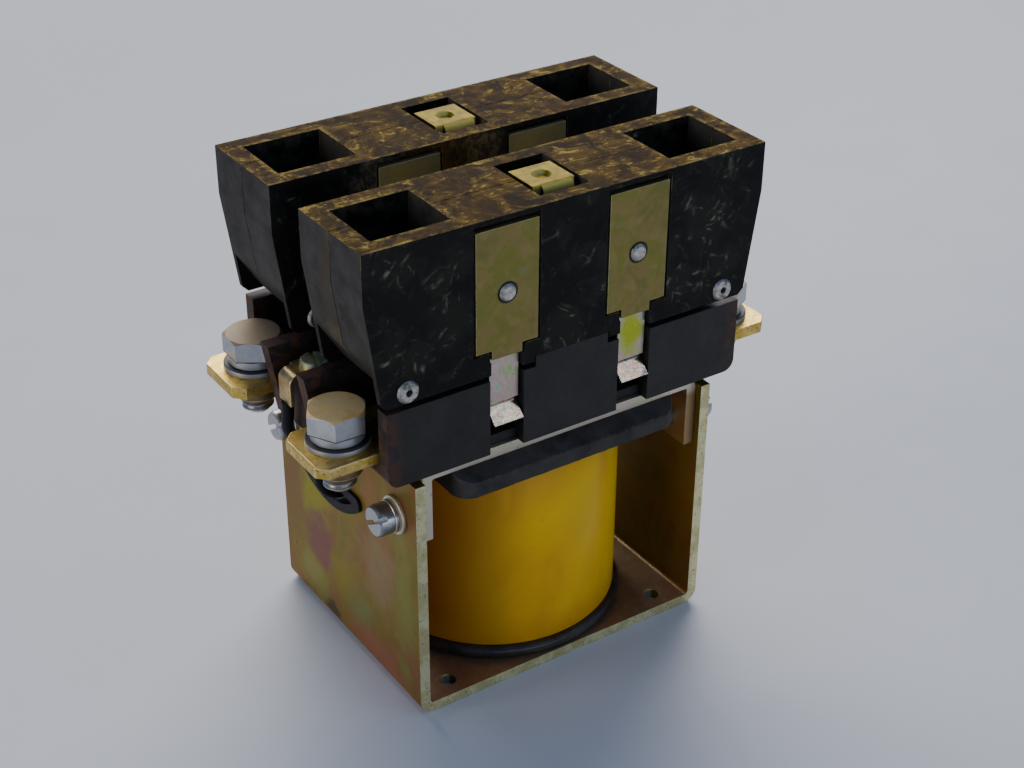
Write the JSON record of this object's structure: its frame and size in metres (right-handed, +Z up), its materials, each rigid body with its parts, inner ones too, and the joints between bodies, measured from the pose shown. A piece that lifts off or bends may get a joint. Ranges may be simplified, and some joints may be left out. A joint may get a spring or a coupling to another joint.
{
  "type": "direct current contactor",
  "caption": "Open-frame double pole dc contactor with solenoid coil, moving contact bridges, clipped arc chutes, screw terminals and slotted lead bushings.",
  "frame": {"origin": "middle of the underside of the yoke, on the surface that the contactor stands on", "axes": "+Z up along the plunger, +X along the poles towards the right-hand terminals, +Y from the front pole to the rear pole"},
  "size_m": [0.1296, 0.0726, 0.1298],
  "materials": {
    "yellow_zinc": "yellow chromate on zinc, satin",
    "pale_zinc": "pale chromate on zinc, satin",
    "olive_zinc": "olive chromate on zinc, dull",
    "bright_zinc": "bright zinc",
    "spring_steel": "iridescent passivated strip and wire",
    "golden_brass": "golden plated strip",
    "soft_iron": "turned",
    "copper": "copper, slightly tarnished",
    "silver_tip": "silver alloy, matt",
    "black_moulding": "moulded phenolic, smooth",
    "brown_moulding": "fibre filled phenolic, worn",
    "black_rubber": "rubber and cable sleeve",
    "coil_film": "amber film over the winding, glossy"
  },
  "bodies": {
    "housing": {"yoke_frame": "yellow_zinc", "top_bracket": "pale_zinc", "side_screws": "bright_zinc", "side_spring_washers": "bright_zinc", "side_flat_washers": "yellow_zinc", "fixed_core": "soft_iron", "coil_bobbin": "black_moulding", "coil_winding": "coil_film", "wall_grommets": "black_rubber", "coil_lead_left": "black_rubber", "coil_lead_right": "black_rubber", "return_spring": "spring_steel", "front_base_moulding": "black_moulding", "rear_base_moulding": "black_moulding", "moulding_screws": "bright_zinc", "front_left_terminal": "golden_brass", "front_right_terminal": "golden_brass", "rear_left_terminal": "golden_brass", "rear_right_terminal": "golden_brass", "fixed_contact_tips": "silver_tip", "terminal_fixing_screws": "bright_zinc", "terminal_bolts": "bright_zinc", "terminal_spring_washers": "bright_zinc", "terminal_flat_washers": "bright_zinc", "terminal_nuts": "yellow_zinc", "front_chute_outer_half": "brown_moulding", "front_chute_inner_half": "brown_moulding", "rear_chute_inner_half": "brown_moulding", "rear_chute_outer_half": "brown_moulding", "chute_eyelets": "bright_zinc", "plate_rivets": "bright_zinc", "front_outer_plates": "olive_zinc", "front_inner_plates": "olive_zinc", "rear_inner_plates": "olive_zinc", "rear_outer_plates": "olive_zinc", "front_outer_clips": "spring_steel", "front_inner_clips": "spring_steel", "rear_inner_clips": "spring_steel", "rear_outer_clips": "spring_steel", "left_terminal_block": "black_moulding", "right_terminal_block": "black_moulding", "left_coil_tab": "golden_brass", "right_coil_tab": "golden_brass", "coil_tab_screws": "golden_brass"},
    "armature": {"plunger": "soft_iron", "crosshead": "brown_moulding", "crosshead_nut": "bright_zinc", "front_stirrup": "golden_brass", "rear_stirrup": "golden_brass", "stirrup_rivets": "bright_zinc", "front_contact_spring": "spring_steel", "rear_contact_spring": "spring_steel"},
    "front_moving_contact": {"front_bridge": "copper", "front_bridge_tips": "silver_tip"},
    "rear_moving_contact": {"rear_bridge": "copper", "rear_bridge_tips": "silver_tip"}
  },
  "joints": [
    {"name": "armature_travel", "type": "slide", "parent": "housing", "child": "armature", "axis": [0, 0, 1], "range_m": [-0.006, 0], "stiffness_N_per_m": 900, "springref_m": 0.01, "deforming": ["return_spring"]},
    {"name": "front_bridge_slide", "type": "slide", "parent": "armature", "child": "front_moving_contact", "axis": [0, 0, 1], "range_m": [0, 0.002], "deforming": ["front_contact_spring"]},
    {"name": "rear_bridge_slide", "type": "slide", "parent": "armature", "child": "rear_moving_contact", "axis": [0, 0, 1], "range_m": [0, 0.002], "deforming": ["rear_contact_spring"]}
  ],
  "couplings": [
    {"joint": "front_bridge_slide", "follows": "armature_travel", "ratio": -0.33333},
    {"joint": "rear_bridge_slide", "follows": "armature_travel", "ratio": -0.33333}
  ]
}
